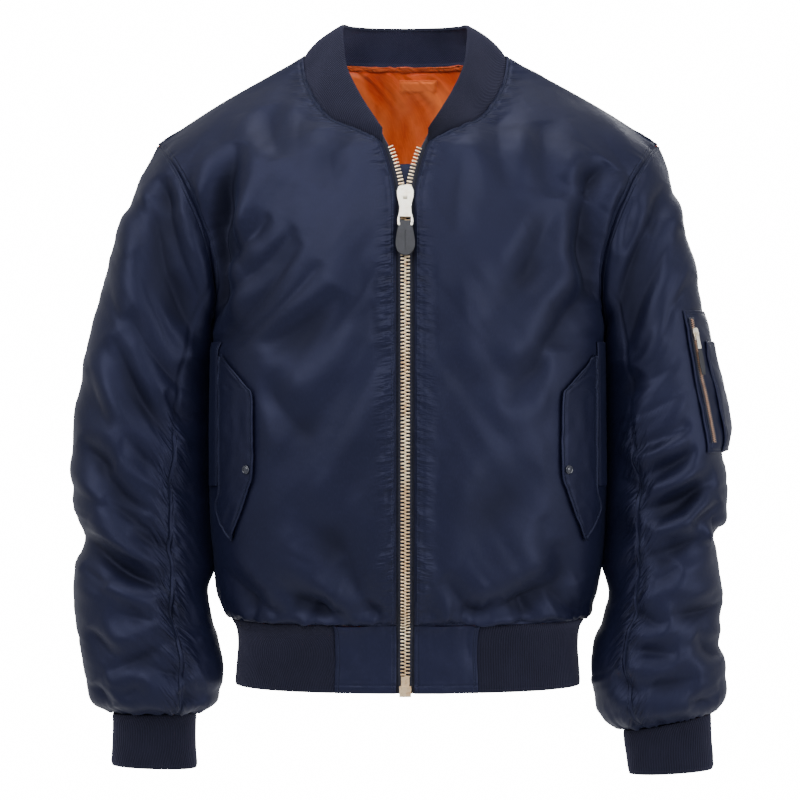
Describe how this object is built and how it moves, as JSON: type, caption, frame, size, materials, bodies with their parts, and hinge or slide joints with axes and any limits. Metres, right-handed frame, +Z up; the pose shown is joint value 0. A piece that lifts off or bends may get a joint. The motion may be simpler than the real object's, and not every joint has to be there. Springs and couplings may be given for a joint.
{
  "type": "bomber jacket",
  "caption": "Nylon bomber jacket filled out as if worn, with rib collar, cuffs and hem, snap flap pockets, a zipped sleeve pocket and an orange lining.",
  "frame": {"origin": "where the neck holds the jacket up, midway between the two shoulder neck points", "axes": "+Z up, -Y the way the jacket faces, +X towards the wearer's left sleeve"},
  "size_m": [0.6889, 0.2838, 0.785],
  "materials": {
    "navy_satin": "satin",
    "navy_rib": "matte",
    "orange_lining": "satin",
    "zip_tape": "matte",
    "brass_teeth": "polished",
    "pale_gold": "polished",
    "charcoal_tag": "matte",
    "navy_snap": "gloss"
  },
  "bodies": {
    "jacket": {"front_right": "navy_satin", "front_left": "navy_satin", "back": "navy_satin", "sleeve_outer_right": "navy_satin", "sleeve_under_right": "navy_satin", "hem_panel_right": "navy_satin", "pocket_flap_right": "navy_satin", "pocket_welt_right": "navy_satin", "sleeve_outer_left": "navy_satin", "sleeve_under_left": "navy_satin", "hem_panel_left": "navy_satin", "pocket_flap_left": "navy_satin", "pocket_welt_left": "navy_satin", "wind_flap": "navy_satin", "sleeve_pocket": "navy_satin", "pen_pocket": "navy_satin", "collar": "navy_rib", "hem_rib": "navy_rib", "cuff_right": "navy_rib", "cuff_left": "navy_rib", "lining_back": "orange_lining", "neck_patch": "orange_lining", "zip_tape_right": "zip_tape", "zip_tape_left": "zip_tape", "zip_teeth_right": "brass_teeth", "zip_teeth_left": "brass_teeth", "sleeve_zip": "brass_teeth", "zip_box": "brass_teeth", "zip_slider": "pale_gold", "sleeve_slider": "pale_gold", "snap_right": "navy_snap", "snap_left": "navy_snap"},
    "zip_pull": {"zip_pull": "pale_gold", "zip_tag": "charcoal_tag"},
    "sleeve_pull": {"sleeve_pull": "pale_gold", "sleeve_pull_strap": "charcoal_tag"}
  },
  "joints": [
    {"name": "zip_pull_hinge", "type": "hinge", "parent": "jacket", "child": "zip_pull", "pos_m": [0, -0.12865, -0.15593], "axis": [-1, 0, 0], "range_deg": [0, 150]},
    {"name": "sleeve_pull_hinge", "type": "hinge", "parent": "jacket", "child": "sleeve_pull", "pos_m": [0.29853, -0.06852, -0.29179], "axis": [-0.7617, -0.6425, -0.0839], "range_deg": [0, 150]}
  ]
}
